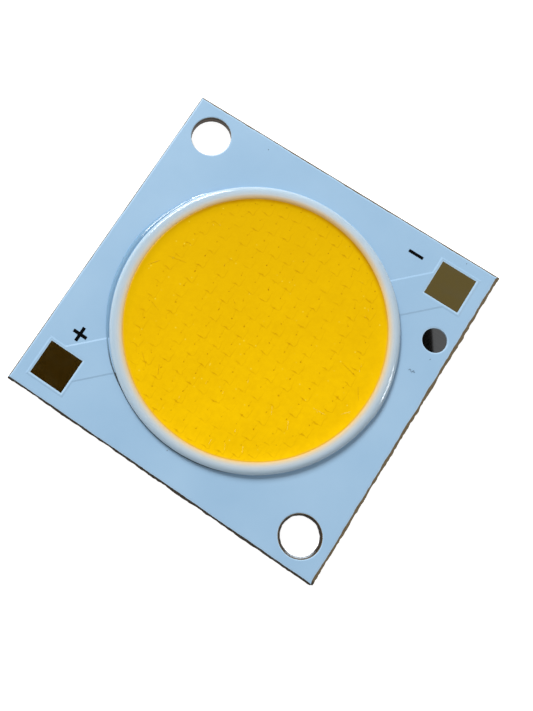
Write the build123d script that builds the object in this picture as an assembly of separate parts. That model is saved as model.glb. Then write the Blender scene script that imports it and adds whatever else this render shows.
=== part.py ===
from build123d import *
import os
from math import atan2, degrees, radians, sin, sqrt

# A chip-on-board LED module: a square aluminium plate with a thin printed circuit on its face,
# a white bead round the chip field, and a yellow phosphor gel poured over the chips.
# Millimetres. The back of the plate is Z = 0, its centre is the origin, and light leaves along +Z.

# The aluminium plate, punched from mirror-finished sheet.
board_side = 28.0
base_thickness = 0.85

# Two through holes for M3 screws, on the diagonal that has no solder pads.
screw_hole_radius = 1.65
screw_hole_edge_distance = 2.5

# The insulating laminate, open over the lit field so that the chips sit on bare metal.
laminate_thickness = 0.10

# The copper: one arc for each pole under the bead, a diagonal trace and a land at the corner.
copper_thickness = 0.035
arc_inset = 0.4
arc_width = 0.5
arc_gap_angle = 5.0
trace_width = 2.8
land_edge_distance = 2.75
land_margin = 0.2

# The solder mask, which climbs the traces and lands as a low step and stops at the arcs.
mask_thickness = 0.035
mask_flow = 0.12

# The solder pads, left open in the mask and plated with gold.
pad_side = 3.0
plating_thickness = 0.01

# The round window for measuring the plate's temperature.
probe_window_radius = 1.0
probe_side_distance = 1.6
probe_upper_distance = 7.1

# The printed polarity signs, placed from the middles of their pads.
ink_thickness = 0.015
plus_right_of_pad = 0.1
plus_above_pad = 3.15
plus_length = 1.25
plus_stroke = 0.27
minus_left_of_pad = 3.58
minus_above_pad = 0.81
minus_length = 1.28
minus_stroke = 0.25

# The silicone bead that holds the gel in: steep sides up to a shoulder, then a round back,
# which is drawn as narrow flats along an arc.
light_diameter = 20.8
dam_width = 1.2
dam_shoulder = 0.12
dam_height = 0.45
dam_flats = 4

# The phosphor gel, with a flat middle and a rim that climbs the bead.
gel_height = 0.28
gel_rim_height = 0.36
gel_rim_width = 0.9

# The chips: strings run from the upper arc to the lower one, and the outer strings bow outwards.
string_count = 12
chips_in_string = 12
chip_width = 0.8
chip_length = 1.0
chip_thickness = 0.12
chip_clearance = 0.1
outer_string_angle = 41.8
string_bow = 0.69

# The gold bond wires, drawn with a square section of the wire's diameter.
wire_diameter = 0.03
ball_inset = 0.10
stitch_inset = 0.05
wire_landing = 0.15

# Places that follow the plate's edges.
half_side = board_side / 2
screw_hole_offset = half_side - screw_hole_edge_distance
land_offset = half_side - land_edge_distance
probe_x = half_side - probe_side_distance
probe_y = half_side - probe_upper_distance

# Levels of the stack, counted from the back of the plate.
laminate_top = base_thickness + laminate_thickness
copper_top = laminate_top + copper_thickness
mask_top = laminate_top + mask_thickness
chip_top = base_thickness + chip_thickness

# Rings about the middle: the bead's inner edge is the edge of the lit field.
dam_inner_radius = light_diameter / 2
dam_outer_radius = dam_inner_radius + dam_width
dam_middle_radius = dam_inner_radius + dam_width / 2
arc_inner_radius = dam_inner_radius + arc_inset
arc_outer_radius = arc_inner_radius + arc_width
wire_landing_radius = arc_inner_radius + wire_landing
gel_flat_radius = dam_inner_radius - gel_rim_width

# The circle of the end chips, which keeps every chip's corners clear of the bead.
chip_half_diagonal = sqrt(chip_width ** 2 + chip_length ** 2) / 2
array_radius = dam_inner_radius - chip_clearance - chip_half_diagonal

positive_direction = -1
negative_direction = 1


def raise_sheet(outline, bottom, thickness):
    """A flat outline made into a sheet that starts at one level."""
    return Pos(0, 0, bottom) * extrude(outline, thickness)


def board_outline():
    """The plate seen from above, with its two screw holes."""
    outline = Rectangle(board_side, board_side)
    for side in (-1, 1):
        outline -= Pos(side * screw_hole_offset, -side * screw_hole_offset) * Circle(screw_hole_radius)
    return outline


def probe_window():
    """The round opening through the mask and the laminate, down to the metal."""
    return Pos(probe_x, probe_y) * Circle(probe_window_radius)


def lead_outline(direction, growth):
    """A pole's trace and land seen from above, or the mask that climbs them when growth is above zero."""
    land_centre = direction * land_offset
    land_side = pad_side + 2 * (land_margin + growth)
    land = Pos(land_centre, land_centre) * Rectangle(land_side, land_side)
    trace_end = land_offset * sqrt(2)
    trace_length = trace_end - arc_inner_radius
    trace_middle = direction * (trace_end - trace_length / 2) / sqrt(2)
    trace = Rectangle(trace_length, trace_width + 2 * growth)
    trace = Pos(trace_middle, trace_middle) * Rot(0, 0, 45) * trace
    return land + (trace - Circle(arc_outer_radius))


def arc_outline(direction):
    """A pole's arc seen from above: a half ring with half of the gap off each end."""
    half_gap = arc_outer_radius * sin(radians(arc_gap_angle / 2))
    half = Rectangle(board_side, board_side, align=(Align.CENTER, Align.MIN))
    if direction == positive_direction:
        half = Rectangle(board_side, board_side, align=(Align.CENTER, Align.MAX))
    ring = Circle(arc_outer_radius) - Circle(arc_inner_radius)
    return ring & (Pos(0, direction * half_gap) * half)


def pad_outline(direction):
    """One square solder pad seen from above."""
    return Pos(direction * land_offset, direction * land_offset) * Rectangle(pad_side, pad_side)


def make_base_plate():
    """The aluminium plate."""
    return raise_sheet(board_outline(), 0, base_thickness)


def make_laminate():
    """The insulating layer, with the window of the lit field and the probe window."""
    outline = board_outline() - Circle(dam_inner_radius) - probe_window()
    return raise_sheet(outline, base_thickness, laminate_thickness)


def make_copper(direction):
    """One pole of the circuit."""
    outline = arc_outline(direction) + lead_outline(direction, 0)
    return raise_sheet(outline, laminate_top, copper_thickness)


def make_mask(coppers):
    """The solder mask: a sheet on the laminate with a low step over each trace and land."""
    mask = raise_sheet(board_outline(), laminate_top, mask_thickness)
    step_height = copper_thickness + mask_thickness
    for direction in (negative_direction, positive_direction):
        mask += raise_sheet(lead_outline(direction, mask_flow), laminate_top, step_height)
    openings = Circle(arc_outer_radius) + probe_window()
    openings = openings + pad_outline(negative_direction) + pad_outline(positive_direction)
    mask -= raise_sheet(openings, laminate_top, step_height)
    for copper in coppers:
        mask -= copper
    return mask


def make_plating(direction):
    """The gold finish on one solder pad."""
    return raise_sheet(pad_outline(direction), copper_top, plating_thickness)


def make_plus():
    """The printed plus sign."""
    sign = Rectangle(plus_length, plus_stroke) + Rectangle(plus_stroke, plus_length)
    place = Pos(plus_right_of_pad - land_offset, plus_above_pad - land_offset)
    return raise_sheet(place * sign, mask_top, ink_thickness)


def make_minus():
    """The printed minus sign."""
    sign = Rectangle(minus_length, minus_stroke)
    place = Pos(land_offset - minus_left_of_pad, land_offset + minus_above_pad)
    return raise_sheet(place * sign, mask_top, ink_thickness)


def revolve_section(lines):
    """A solid of revolution about Z from lines drawn in the XZ plane."""
    return revolve(make_face(Curve() + lines), Axis.Z)


def make_dam_blank():
    """The bead with a round back, down to the plate and through the layers that it sits on."""
    shoulder_level = mask_top + dam_shoulder
    foot = Polyline(
        (dam_inner_radius, 0, shoulder_level),
        (dam_inner_radius, 0, base_thickness),
        (dam_outer_radius, 0, base_thickness),
        (dam_outer_radius, 0, shoulder_level),
    )
    arc = ThreePointArc(
        (dam_outer_radius, 0, shoulder_level),
        (dam_middle_radius, 0, mask_top + dam_height),
        (dam_inner_radius, 0, shoulder_level),
    )
    back = Polyline(*[arc @ (flat / dam_flats) for flat in range(dam_flats + 1)])
    return revolve_section([foot, back])


def make_gel_blank():
    """The gel with its flat middle and raised rim, out to the middle of the bead."""
    flat_level = mask_top + gel_height
    rim_level = mask_top + gel_rim_height
    section = Polyline(
        (0, 0, base_thickness),
        (dam_middle_radius, 0, base_thickness),
        (dam_middle_radius, 0, rim_level),
        (dam_inner_radius, 0, rim_level),
        (gel_flat_radius, 0, flat_level),
        (0, 0, flat_level),
        close=True,
    )
    return revolve_section([section])


def chip_places(string):
    """The chip centres of one string, from the upper arc to the lower one."""
    outer_x = array_radius * sin(radians(outer_string_angle))
    end_x = outer_x * (2 * string / (string_count - 1) - 1)
    end_y = sqrt(array_radius ** 2 - end_x ** 2)
    bow = end_x * string_bow * (end_x / array_radius) ** 2
    places = []
    for row in range(chips_in_string):
        y = end_y * (1 - 2 * row / (chips_in_string - 1))
        x = end_x + bow * (1 - (y / end_y) ** 2)
        places.append((x, y))
    return places


def make_chips(string):
    """The chips of one string, each a separate block on the plate."""
    chips = []
    for x, y in chip_places(string):
        chip = Box(chip_width, chip_length, chip_thickness)
        chips.append(Pos(x, y, base_thickness + chip_thickness / 2) * chip)
    return chips


def make_link_wire(start, end):
    """A low wire from the lower edge of one chip to the upper edge of the next."""
    start_y = start[1] - chip_length / 2 + stitch_inset
    end_y = end[1] + chip_length / 2 - ball_inset
    run = Vector(end[0] - start[0], end_y - start_y)
    middle = Vector(start[0], start_y) + run / 2
    angle = degrees(atan2(run.Y, run.X))
    wire = Box(run.length, wire_diameter, wire_diameter)
    level = chip_top + wire_diameter / 2
    return Pos(middle.X, middle.Y, level) * Rot(0, 0, angle) * wire


def make_end_wire(place, direction):
    """A wire from the end chip of a string, over the laminate's edge, to the copper under the bead."""
    x, y = place
    inset = ball_inset if direction == negative_direction else stitch_inset
    chip_edge = y + direction * chip_length / 2
    start = chip_edge - direction * inset
    end = direction * sqrt(wire_landing_radius ** 2 - x ** 2)
    copper_edge = direction * sqrt(arc_inner_radius ** 2 - (abs(x) + wire_diameter) ** 2)
    section = Polyline(
        (x, start, chip_top),
        (x, chip_edge, chip_top),
        (x, copper_edge, copper_top),
        (x, end, copper_top),
        (x, end, copper_top + wire_diameter),
        (x, start, chip_top + wire_diameter),
        close=True,
    )
    return extrude(make_face(section), wire_diameter / 2, dir=(1, 0, 0), both=True)


def make_wires(string):
    """The bond wires of one string: links between its chips and a loop at each end."""
    places = chip_places(string)
    wires = [make_end_wire(places[0], negative_direction)]
    for start, end in zip(places, places[1:]):
        wires.append(make_link_wire(start, end))
    wires.append(make_end_wire(places[-1], positive_direction))
    return wires


def make_string_slot(string):
    """The shallow slot over one string, as wide as its chips and one wire deep, for its link wires."""
    places = chip_places(string)
    left = []
    right = []
    for x, y in places:
        for edge in (y + chip_length / 2, y - chip_length / 2):
            left.append((x - chip_width / 2, edge))
            right.append((x + chip_width / 2, edge))
    outline = make_face(Polyline(*left, *reversed(right), close=True))
    return raise_sheet(outline, chip_top, wire_diameter)


base_plate = make_base_plate()
laminate = make_laminate()
copper_negative = make_copper(negative_direction)
copper_positive = make_copper(positive_direction)
mask = make_mask([copper_negative, copper_positive])

chip_groups = [make_chips(string) for string in range(string_count)]
wire_groups = [make_wires(string) for string in range(string_count)]
all_chips = [chip for group in chip_groups for chip in group]
all_slots = [make_string_slot(string) for string in range(string_count)]
end_wires = [wire for group in wire_groups for wire in (group[0], group[-1])]

dam_blank = make_dam_blank()
dam = dam_blank - [laminate, copper_negative, copper_positive, mask] - end_wires
gel = make_gel_blank() - dam_blank - all_chips - all_slots - end_wires

nodes = {
    "base_plate": base_plate,
    "insulating_laminate": laminate,
    "copper_negative": copper_negative,
    "copper_positive": copper_positive,
    "solder_mask": mask,
    "pad_plating_negative": make_plating(negative_direction),
    "pad_plating_positive": make_plating(positive_direction),
    "plus_mark": make_plus(),
    "minus_mark": make_minus(),
    "dam_ring": dam,
    "phosphor_gel": gel,
}
for string in range(string_count):
    number = f"{string + 1:02d}"
    nodes[f"chip_string_{number}"] = Compound(children=chip_groups[string])
    nodes[f"bond_wires_{number}"] = Compound(children=wire_groups[string])

os.makedirs("parts", exist_ok=True)
for name, shape in nodes.items():
    export_step(shape, f"parts/{name}.step")
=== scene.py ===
import math
import random
from functools import partial

import bpy
from mathutils import Matrix, Vector
from mathutils.geometry import delaunay_2d_cdt


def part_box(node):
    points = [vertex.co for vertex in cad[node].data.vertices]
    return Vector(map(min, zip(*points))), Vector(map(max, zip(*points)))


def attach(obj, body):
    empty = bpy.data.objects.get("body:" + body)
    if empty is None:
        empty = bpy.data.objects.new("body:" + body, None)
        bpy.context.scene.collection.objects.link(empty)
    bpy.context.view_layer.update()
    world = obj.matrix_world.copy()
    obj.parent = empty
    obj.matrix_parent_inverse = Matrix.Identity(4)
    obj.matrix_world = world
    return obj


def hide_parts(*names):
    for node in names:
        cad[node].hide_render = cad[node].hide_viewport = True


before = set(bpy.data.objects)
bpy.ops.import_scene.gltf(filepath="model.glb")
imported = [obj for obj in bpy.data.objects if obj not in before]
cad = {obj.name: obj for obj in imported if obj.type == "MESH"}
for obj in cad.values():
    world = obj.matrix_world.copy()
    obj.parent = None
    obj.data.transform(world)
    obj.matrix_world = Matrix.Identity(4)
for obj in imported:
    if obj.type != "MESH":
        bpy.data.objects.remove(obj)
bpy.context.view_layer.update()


# The base plate is a square of mirror-finished aluminium sheet, punched to size with two screw holes. Its
# face is bright, its back keeps the mill's rolling lines, and its cut walls show the smooth shear band above
# the torn, dull break, coloured with dark painted shade and a brown painted reflection.

MM = 0.001


def linear(colour):
    """The linear RGBA of an sRGB hex colour."""
    parts = [int(colour[i:i + 2], 16) / 255 for i in (1, 3, 5)]
    parts = [c / 12.92 if c <= 0.04045 else ((c + 0.055) / 1.055) ** 2.4 for c in parts]
    return (*parts, 1.0)


def add_node(tree, kind, inputs=None, **settings):
    """A new node with its settings, each input set to a value or linked to a socket or a node."""
    node = tree.nodes.new(kind)
    for name, value in settings.items():
        setattr(node, name, value)
    for key, value in (inputs or {}).items():
        if isinstance(value, bpy.types.Node):
            value = next(socket for socket in value.outputs if socket.enabled)
        if isinstance(value, bpy.types.NodeSocket):
            tree.links.new(value, node.inputs[key])
        else:
            node.inputs[key].default_value = value
    return node


def start_material(name):
    """A new material, what adds its nodes, and the place on the object in metres."""
    material = bpy.data.materials.new(name)
    material.use_nodes = True
    tree = material.node_tree
    tree.nodes.clear()
    add = partial(add_node, tree)
    return material, add, add("ShaderNodeTexCoord").outputs["Object"]


def end_material(add, inputs):
    """The surface shader of a material, joined to its output."""
    shader = add("ShaderNodeBsdfPrincipled", inputs)
    add("ShaderNodeOutputMaterial", {"Surface": shader})


def dress(names, material):
    """Gives CAD nodes their material."""
    for name in names:
        cad[name].data.materials.clear()
        cad[name].data.materials.append(material)


plate_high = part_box("base_plate")[1]
plate_top = plate_high.z
half_side = plate_high.x

# Mirror-finished aluminium: neutral, bright and smooth on the face, satin on the back, and dull where it was
# punched, where the bands of the shear and the break are coloured with dark painted shade and a brown painted
# reflection instead of the metal's own grey.
punched_aluminium, add, place = start_material("punched_mirror_aluminium")
normal = add("ShaderNodeNewGeometry").outputs["Normal"]
normal = add("ShaderNodeSeparateXYZ", {0: normal})
upright = add("ShaderNodeMath", {0: normal.outputs[2]}, operation="ABSOLUTE")
wall = add("ShaderNodeMath", {0: upright, 1: 0.5}, operation="LESS_THAN")
back = add("ShaderNodeMath", {0: normal.outputs[2], 1: -0.5}, operation="LESS_THAN")
level = add("ShaderNodeSeparateXYZ", {0: place}).outputs[2]
tear = add("ShaderNodeTexNoise", {"Vector": place, "Scale": 1 / (0.5 * MM), "Detail": 3.0})
tear = add("ShaderNodeMath", {0: tear, 1: 0.25 * MM, 2: level}, operation="MULTIPLY_ADD")
bands = add("ShaderNodeMapRange", {0: tear, 1: 0.0, 2: plate_top + 0.25 * MM})
# Painted shade and painted reflection: near-black and brown bands on the cut walls.
cut = add("ShaderNodeValToRGB", {0: bands})
cut.color_ramp.elements[0].color = linear("#2A211A")
cut.color_ramp.elements[1].color = linear("#1B1613")
for position, colour in ((0.30, "#2A211A"), (0.45, "#5A4B3D"), (0.58, "#4A3D32"), (0.68, "#17120F")):
    cut.color_ramp.elements.new(position).color = linear(colour)
rolled = add("ShaderNodeMapping", {0: place, 3: (1 / (6 * MM), 1 / (0.12 * MM), 1.0)})
rolled = add("ShaderNodeTexNoise", {"Vector": rolled, "Scale": 1.0, "Detail": 2.0})
face_colour = add("ShaderNodeMix", {0: rolled, 6: linear("#C4C7CA"), 7: linear("#D6D8DA")}, data_type="RGBA")
colour = add("ShaderNodeMix", {0: wall, 6: face_colour, 7: cut}, data_type="RGBA")
satin = add("ShaderNodeMapRange", {0: rolled, 3: 0.24, 4: 0.42})
smooth = add("ShaderNodeMix", {0: back, 2: 0.03, 3: satin})
roughness = add("ShaderNodeMix", {0: wall, 2: smooth, 3: 0.55})
end_material(add, {"Base Color": colour, "Metallic": 1.0, "Roughness": roughness})
dress(["base_plate"], punched_aluminium)


# The lower hole keeps a lip of metal that the punch tore and folded in. It is dull, and its colour is painted
# light: dark brown painted shade, and a bright painted highlight on the side towards the camera.


def add_piece(name, verts, edges, faces):
    """A new object in the scene, and its mesh."""
    mesh = bpy.data.meshes.new(name)
    mesh.from_pydata(verts, edges, faces)
    piece = bpy.data.objects.new(name, mesh)
    bpy.context.scene.collection.objects.link(piece)
    return piece, mesh


def mark_points(mesh, name, values):
    """Gives each point of a mesh a value that its material reads."""
    mesh.attributes.new(name, "FLOAT", "POINT").data.foreach_set("value", values)


lip_place = Vector((11.5 * MM, -11.5 * MM))
# The lip's cut shape: radius from the hole's middle and level, in millimetres.
lip_section = [(1.655, 0.82), (1.60, 0.84), (1.50, 0.72), (1.50, 0.50), (1.655, 0.36)]
lip_steps = 96
lit_side_angle = math.radians(-60)
lip_luck = random.Random(11)
verts = []
lit_side = []
tear = 0.0
for i in range(lip_steps):
    turn = 2 * math.pi * i / lip_steps
    tear = 0.7 * tear + lip_luck.uniform(-0.014, 0.014)
    for k, (radius, level) in enumerate(lip_section):
        reach = radius + (tear if 0 < k < 4 else 0.0)
        verts.append((
            lip_place.x + reach * MM * math.cos(turn), lip_place.y + reach * MM * math.sin(turn), level * MM))
        # Painted highlight: how strongly the lip is lit, strongest on one side.
        lit_side.append(max(0.0, math.cos(turn - lit_side_angle)) ** 2)
count = len(lip_section)
faces = []
for i in range(lip_steps):
    j = (i + 1) % lip_steps
    for k in range(count):
        m = (k + 1) % count
        faces.append((i * count + m, i * count + k, j * count + k, j * count + m))
torn_hole_lip, mesh = add_piece("torn_hole_lip", verts, [], faces)
mark_points(mesh, "lit_side", lit_side)

# Torn aluminium, coloured with painted light: dark brown painted shade, and a bright painted highlight,
# broken up by scratches, on one side.
torn_aluminium, add, place = start_material("torn_aluminium")
scratch = add("ShaderNodeTexNoise", {"Vector": place, "Scale": 1 / (0.12 * MM), "Detail": 3.0})
lit_patch = add("ShaderNodeAttribute", attribute_name="lit_side").outputs["Fac"]
lit_patch = add("ShaderNodeMath", {0: lit_patch, 1: scratch}, operation="MULTIPLY")
lit_patch = add("ShaderNodeMapRange", {0: lit_patch, 1: 0.2, 2: 0.5})
colour = add("ShaderNodeMix", {0: lit_patch, 6: linear("#2B2015"), 7: linear("#B9C3CC")}, data_type="RGBA")
end_material(add, {"Base Color": colour, "Roughness": 0.5})
mesh.materials.append(torn_aluminium)
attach(torn_hole_lip, "root")


# The insulating laminate is a thin layer of epoxy filled with ceramic, bonded to the plate. It
# shows as a brown line where the punch chipped the white ink along the edges.

laminate_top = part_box("insulating_laminate")[1].z

# Filled epoxy: opaque, brown and dull, with a fine grain where it is cut, and darkened with painted shade
# along the lower edge, where the fringe hangs.
filled_epoxy, add, place = start_material("ceramic_filled_epoxy")
grain = add("ShaderNodeTexNoise", {"Vector": place, "Scale": 1 / (0.15 * MM), "Detail": 4.0})
colour = add("ShaderNodeMix", {0: grain, 6: linear("#4E3F26"), 7: linear("#7C6A48")}, data_type="RGBA")
along = add("ShaderNodeSeparateXYZ", {0: place}).outputs[1]
# Painted shade: the laminate and its fringe darker along the lower edge.
lower_edge_shade = add("ShaderNodeMapRange", {0: along, 1: -13.6 * MM, 2: -13.8 * MM})
colour = add("ShaderNodeMix", {0: lower_edge_shade, 6: colour, 7: linear("#2A2010")}, data_type="RGBA")
relief = add("ShaderNodeBump", {"Strength": 0.4, "Distance": 0.01 * MM, "Height": grain})
end_material(add, {"Base Color": colour, "Roughness": 0.65, "Normal": relief})
dress(["insulating_laminate"], filled_epoxy)


# Along the right and lower edges the punch tore the filled epoxy outwards. It hangs there as a
# ragged brown fringe, a tenth of a millimetre deep, still held by the laminate.

fringe_luck = random.Random(23)
fringe_step = 0.22 * MM
verts = []
faces = []
for edge, depth in ((0, 0.10), (1, 0.13)):
    start = len(verts)
    count = int(2 * half_side / fringe_step) + 1
    reach = depth
    for i in range(count):
        along = -half_side + 2 * half_side * i / (count - 1)
        reach = 0.5 * reach + 0.5 * fringe_luck.uniform(0.35, 1.65) * depth
        for out, level in ((-0.01, 0.949), (reach, 0.93), (0.6 * reach, 0.62), (-0.01, 0.55)):
            across = half_side + out * MM
            verts.append((across, along, level * MM) if edge else (along, -across, level * MM))
    for i in range(count - 1):
        a, b = start + 4 * i, start + 4 * (i + 1)
        for k in range(4):
            m = (k + 1) % 4
            faces.append((a + k, a + m, b + m, b + k) if edge else (a + m, a + k, b + k, b + m))
    last = start + 4 * (count - 1)
    ends = [[start + 3, start + 2, start + 1, start], [last, last + 1, last + 2, last + 3]]
    faces += ends if edge else [list(reversed(end)) for end in ends]
torn_fringe, mesh = add_piece("torn_fringe", verts, [], faces)
mesh.materials.append(filled_epoxy)
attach(torn_fringe, "root")


# The copper foil is etched into one arc, trace and land for each pole. It lies under the ink and
# the bead, and shows only where the model is taken apart.

# Rolled copper with a thin brown oxide in patches.
etched_copper, add, place = start_material("etched_copper_foil")
oxide = add("ShaderNodeTexNoise", {"Vector": place, "Scale": 1 / (1.5 * MM), "Detail": 4.0})
colour = add("ShaderNodeMix", {0: oxide, 6: linear("#C98A6B"), 7: linear("#A9653F")}, data_type="RGBA")
roughness = add("ShaderNodeMapRange", {0: oxide, 3: 0.25, 4: 0.45})
end_material(add, {"Base Color": colour, "Metallic": 1.0, "Roughness": roughness})
dress(["copper_negative", "copper_positive"], etched_copper)


# The solder mask is white ink with a cool blue cast, screened over the laminate and cured. It
# flows over the copper in soft low steps, and its edge is ragged where the plate was punched.

hole_radius = 1.65 * MM
hole_offset = 11.5 * MM
pad_half = 1.5 * MM
land_half = 1.7 * MM
land_offset = 11.25 * MM
trace_half = 1.4 * MM
window_radius = 1.0 * MM
window_place = Vector((12.4 * MM, 6.9 * MM))
bead_seat_radius = 11.3 * MM
mask_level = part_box("plus_mark")[0].z
mask_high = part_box("solder_mask")[1].z
slope_inside = -0.05 * MM
slope_outside = 0.08 * MM
rim_width = 0.09 * MM
rim_drop = 0.022 * MM
# The share of the copper's step that still shows on top of the ink.
step_share = 0.8


def lead_growth(x, y):
    """How far a point lies outside the copper of the nearer trace and land."""
    side = 1 if x + y > 0 else -1
    land = max(abs(x - side * land_offset), abs(y - side * land_offset)) - land_half
    along = side * (x + y) / math.sqrt(2)
    trace = max(abs(x - y) / math.sqrt(2) - trace_half, along - land_offset * math.sqrt(2))
    return min(land, trace)


def circle_points(x, y, radius, count):
    """Points round a circle."""
    turns = [2 * math.pi * i / count for i in range(count)]
    return [(x + radius * math.cos(a), y + radius * math.sin(a)) for a in turns]


def square_points(x, y, half):
    """The corners of a square."""
    return [(x - half, y - half), (x + half, y - half), (x + half, y + half), (x - half, y + half)]


def ragged_square(inset, step, chips, seed):
    """The plate's outline pulled in by a different, broken amount along each edge."""
    luck = random.Random(seed)
    corners = [(-1, -1), (1, -1), (1, 1), (-1, 1)]
    outline = []
    for edge in range(4):
        start, end = corners[edge], corners[(edge + 1) % 4]
        count = int(2 * half_side / step)
        depth = 0.0
        for i in range(count):
            share = i / count
            depth = 0.6 * depth + luck.uniform(0, chips[edge]) * 0.8
            pull = inset[edge] + (depth if 0 < i else 0)
            x = half_side * (start[0] + (end[0] - start[0]) * share)
            y = half_side * (start[1] + (end[1] - start[1]) * share)
            if i == 0:
                before = inset[edge - 1]
                across = (pull, before) if edge % 2 else (before, pull)
                x -= math.copysign(across[0], x)
                y -= math.copysign(across[1], y)
            elif edge % 2:
                x -= math.copysign(pull, x)
            else:
                y -= math.copysign(pull, y)
            outline.append((x, y))
    return outline


class Outline:
    """Points and closed loops gathered for one triangulation."""

    def __init__(self):
        self.points = []
        self.edges = []
        self.faces = []

    def add(self, points, is_face=True):
        start = len(self.points)
        count = len(points)
        self.points += [Vector(p) for p in points]
        self.edges += [(start + i, start + (i + 1) % count) for i in range(count)]
        if is_face:
            self.faces.append([start + i for i in range(count)])


outline = Outline()
# The lower, right, upper and left edges, as the photograph shows them.
edge_inset = [0.04 * MM, 0.02 * MM, 0.05 * MM, 0.03 * MM]
edge_chips = [0.03 * MM, 0.06 * MM, 0.05 * MM, 0.03 * MM]
rim = ragged_square(edge_inset, 0.24 * MM, edge_chips, 7)
outline.add(rim)
openings = [
    circle_points(-hole_offset, hole_offset, hole_radius + 0.02 * MM, 64),
    circle_points(hole_offset, -hole_offset, hole_radius + 0.05 * MM, 64),
    circle_points(window_place.x, window_place.y, window_radius - 0.015 * MM, 48),
    square_points(land_offset, land_offset, pad_half),
    square_points(-land_offset, -land_offset, pad_half),
    circle_points(0, 0, bead_seat_radius, 256),
]
for points in openings:
    outline.add(points)
outline.add(circle_points(-hole_offset, hole_offset, hole_radius + rim_width, 64), False)
outline.add(circle_points(hole_offset, -hole_offset, hole_radius + rim_width + 0.03 * MM, 64), False)
outline.add(circle_points(window_place.x, window_place.y, window_radius + rim_width, 48), False)
rim_inner_share = 0.9915
outline.add([(x * rim_inner_share, y * rim_inner_share) for x, y in rim], False)
trace_start = 0.55
for side in (-1, 1):
    for growth in (slope_inside, slope_outside):
        half = land_half + growth
        outline.add(square_points(side * land_offset, side * land_offset, half), False)
        reach = land_offset * math.sqrt(2)
        width = trace_half + growth
        near = trace_start * reach
        corners = [(near, -width), (reach, -width), (reach, width), (near, width)]
        turned = [((a - b) / math.sqrt(2) * side, (a + b) / math.sqrt(2) * side) for a, b in corners]
        outline.add(turned, False)

inside_only = 1
merge_distance = 1e-9
points, edges, faces, _, _, origins = delaunay_2d_cdt(
    outline.points, outline.edges, outline.faces, inside_only, merge_distance)
faces = [list(face) for face, origin in zip(faces, origins) if list(origin) == [0]]


def mask_height(x, y):
    """The level of the ink's surface at a point."""
    growth = lead_growth(x, y)
    share = (slope_outside - growth) / (slope_outside - slope_inside)
    return mask_level + step_share * (mask_high - mask_level) * min(1, max(0, share))


used = sorted({i for face in faces for i in face})
index = {old: new for new, old in enumerate(used)}
faces = [[index[i] for i in face] for face in faces]
sides = {(a, b) for face in faces for a, b in zip(face, face[1:] + face[:1])}
brink = {a for a, b in sides if (b, a) not in sides}
upper = []
lower = []
for i, old in enumerate(used):
    x, y = points[old]
    if math.hypot(x, y) < bead_seat_radius + 0.01 * MM:
        brink.discard(i)
    upper.append((x, y, mask_height(x, y) - (rim_drop if i in brink else 0)))
    in_window = math.hypot(x - window_place.x, y - window_place.y) < window_radius
    lower.append((x, y, plate_top if in_window else laminate_top))
count = len(upper)
walls = [(b, a, a + count, b + count) for a, b in sorted(sides) if (b, a) not in sides]
under = [[i + count for i in reversed(face)] for face in faces]
solder_mask, mesh = add_piece("solder_mask_ink", upper + lower, [], faces + under + walls)
mark_points(mesh, "rim", [1.0 if i in brink else 0.0 for i in range(count)] * 2)

# Cured epoxy ink: pale cool blue, satin, with a faint mottle and orange peel from the screen, and paler along
# its edges with a painted highlight.
mask_ink, add, place = start_material("white_epoxy_mask_ink")
mottle = add("ShaderNodeTexNoise", {"Vector": place, "Scale": 1 / (7 * MM), "Detail": 3.0})
mottle = add("ShaderNodeMapRange", {0: mottle, 1: 0.3, 2: 0.7})
colour = add("ShaderNodeMix", {0: mottle, 6: linear("#9CC1E0"), 7: linear("#A6C9E6")}, data_type="RGBA")
rim = add("ShaderNodeAttribute", attribute_name="rim").outputs["Fac"]
# Painted highlight: a paler blue along the ink's edges.
colour = add("ShaderNodeMix", {0: rim, 6: colour, 7: linear("#B4D3EC")}, data_type="RGBA")
peel = add("ShaderNodeTexNoise", {"Vector": place, "Scale": 1 / (0.4 * MM), "Detail": 2.0})
relief = add("ShaderNodeBump", {"Strength": 0.25, "Distance": 0.002 * MM, "Height": peel})
roughness = add("ShaderNodeMapRange", {0: peel, 3: 0.38, 4: 0.5})
end_material(add, {"Base Color": colour, "Roughness": roughness, "Normal": relief})
mesh.materials.append(mask_ink)
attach(solder_mask, "root")
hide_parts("solder_mask")


# The two solder pads are the copper lands left open in the ink, with a flash of gold over nickel.
# The metal is smooth enough to mirror what is above it, with faint stains from handling.

# Immersion gold: a pale yellow metal, satin from the copper's grain beneath.
immersion_gold, add, place = start_material("immersion_gold")
stain = add("ShaderNodeTexNoise", {"Vector": place, "Scale": 1 / (0.8 * MM), "Detail": 5.0})
stain = add("ShaderNodeMapRange", {0: stain, 1: 0.45, 2: 0.7})
colour = add("ShaderNodeMix", {0: stain, 6: linear("#E8CC7C"), 7: linear("#E4CC88")}, data_type="RGBA")
roughness = add("ShaderNodeMapRange", {0: stain, 3: 0.10, 4: 0.14})
end_material(add, {"Base Color": colour, "Metallic": 1.0, "Roughness": roughness})
dress(["pad_plating_negative", "pad_plating_positive"], immersion_gold)


# The polarity signs are screened in black epoxy ink beside their pads, a plus and a minus. They
# were printed last and lie on the cured mask.

# Black legend ink: nearly black and matt, thin enough to follow the mask's surface.
legend_ink, add, place = start_material("black_legend_ink")
print_grain = add("ShaderNodeTexNoise", {"Vector": place, "Scale": 1 / (0.1 * MM), "Detail": 2.0})
colour = add("ShaderNodeMix", {0: print_grain, 6: linear("#010102"), 7: linear("#030404")}, data_type="RGBA")
end_material(add, {"Base Color": colour, "Roughness": 0.75, "Specular IOR Level": 0.05})
dress(["plus_mark", "minus_mark"], legend_ink)


# The chips are sapphire dies in twelve strings, glued to the bright plate. Each outer string
# bows outwards, so that the field fills the circle.

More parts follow.
